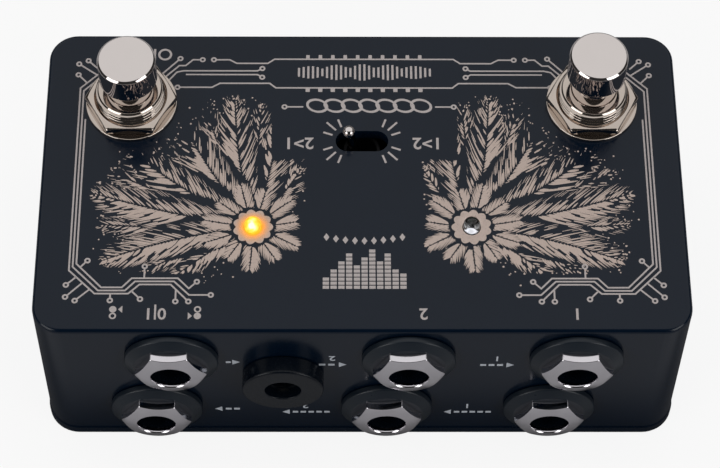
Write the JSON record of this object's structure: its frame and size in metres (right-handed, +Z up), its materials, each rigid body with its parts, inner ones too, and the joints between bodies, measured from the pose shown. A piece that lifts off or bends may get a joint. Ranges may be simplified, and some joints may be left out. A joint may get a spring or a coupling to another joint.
{
  "type": "loop switcher pedal",
  "caption": "Flat die-cast pedal box with latching footswitches, a toggle lever, indicator lamps, phone jack sockets in staggered rows and a barrel power inlet.",
  "frame": {"origin": "centre of the underside of the box, where it rests", "axes": "+X along the box to the right as seen from the socket side, -Y towards the sockets, +Y towards the footswitches and the player, +Z up"},
  "size_m": [0.1124, 0.0649, 0.0534],
  "materials": {
    "case_paint": "dark satin powder coat",
    "cover_paint": "dark satin powder coat",
    "screw_steel": "black zinc",
    "jack_plastic": "moulded nylon",
    "washer_plastic": "moulded nylon",
    "nut_chrome": "polished plating",
    "contact_brass": "tinned",
    "switch_nickel": "nickel plating",
    "switch_base_plastic": "moulded",
    "spring_steel": "bright wire",
    "board_laminate": "solder mask",
    "ribbon_vinyl": "soft vinyl",
    "toggle_plastic": "black, moulded",
    "lamp_amber": "lit lamp",
    "lamp_clear": "clear epoxy",
    "resistor_body": "lacquer",
    "diode_body": "moulded",
    "capacitor_body": "sleeved can"
  },
  "bodies": {
    "root": {"bottom_cover": "cover_paint", "cover_screws": "screw_steel", "enclosure_body": "case_paint", "filter_capacitor": "capacitor_body", "footswitch_left_base": "switch_base_plastic", "footswitch_left_board": "board_laminate", "footswitch_left_frame": "switch_nickel", "footswitch_left_lugs": "contact_brass", "footswitch_left_spring": "spring_steel", "footswitch_lock_nuts": "switch_nickel", "footswitch_lock_washers": "switch_nickel", "footswitch_nuts": "switch_nickel", "footswitch_right_base": "switch_base_plastic", "footswitch_right_board": "board_laminate", "footswitch_right_frame": "switch_nickel", "footswitch_right_lugs": "contact_brass", "footswitch_right_spring": "spring_steel", "footswitch_washers": "switch_nickel", "input_jack_housing": "jack_plastic", "input_sleeve_contact": "contact_brass", "input_tip_spring": "contact_brass", "jack_nuts": "nut_chrome", "jack_washers": "washer_plastic", "lamp_left": "lamp_amber", "lamp_left_leads": "contact_brass", "lamp_right": "lamp_clear", "lamp_right_leads": "contact_brass", "main_board": "board_laminate", "output_jack_housing": "jack_plastic", "output_sleeve_contact": "contact_brass", "output_tip_spring": "contact_brass", "polarity_diode": "diode_body", "power_inlet_housing": "jack_plastic", "power_inlet_nut": "jack_plastic", "power_inlet_pin": "contact_brass", "power_inlet_spring": "contact_brass", "resistors": "resistor_body", "return_a_jack_housing": "jack_plastic", "return_a_sleeve_contact": "contact_brass", "return_a_tip_spring": "contact_brass", "return_b_jack_housing": "jack_plastic", "return_b_sleeve_contact": "contact_brass", "return_b_tip_spring": "contact_brass", "ribbon_cable_left": "ribbon_vinyl", "ribbon_cable_right": "ribbon_vinyl", "send_a_jack_housing": "jack_plastic", "send_a_sleeve_contact": "contact_brass", "send_a_tip_spring": "contact_brass", "send_b_jack_housing": "jack_plastic", "send_b_sleeve_contact": "contact_brass", "send_b_tip_spring": "contact_brass", "toggle_body": "toggle_plastic", "toggle_bushing": "toggle_plastic", "toggle_pivot_pin": "switch_nickel", "toggle_terminals": "contact_brass"},
    "plunger_left": {"footswitch_left_plunger": "switch_nickel"},
    "plunger_right": {"footswitch_right_plunger": "switch_nickel"},
    "toggle_lever": {"toggle_lever": "switch_nickel"}
  },
  "joints": [
    {"name": "footswitch_left_press", "type": "slide", "parent": "root", "child": "plunger_left", "axis": [0, 0, -1], "range_m": [-0.0013, 0.0032], "stiffness_N_per_m": 2500, "deforming": ["footswitch_left_spring"]},
    {"name": "footswitch_right_press", "type": "slide", "parent": "root", "child": "plunger_right", "axis": [0, 0, -1], "range_m": [0, 0.0045], "stiffness_N_per_m": 2500, "springref_m": -0.003, "deforming": ["footswitch_right_spring"]},
    {"name": "toggle_flip", "type": "hinge", "parent": "root", "child": "toggle_lever", "pos_m": [0, 0.0075, 0.0282], "axis": [0, 1, 0], "range_deg": [0, 20]}
  ]
}
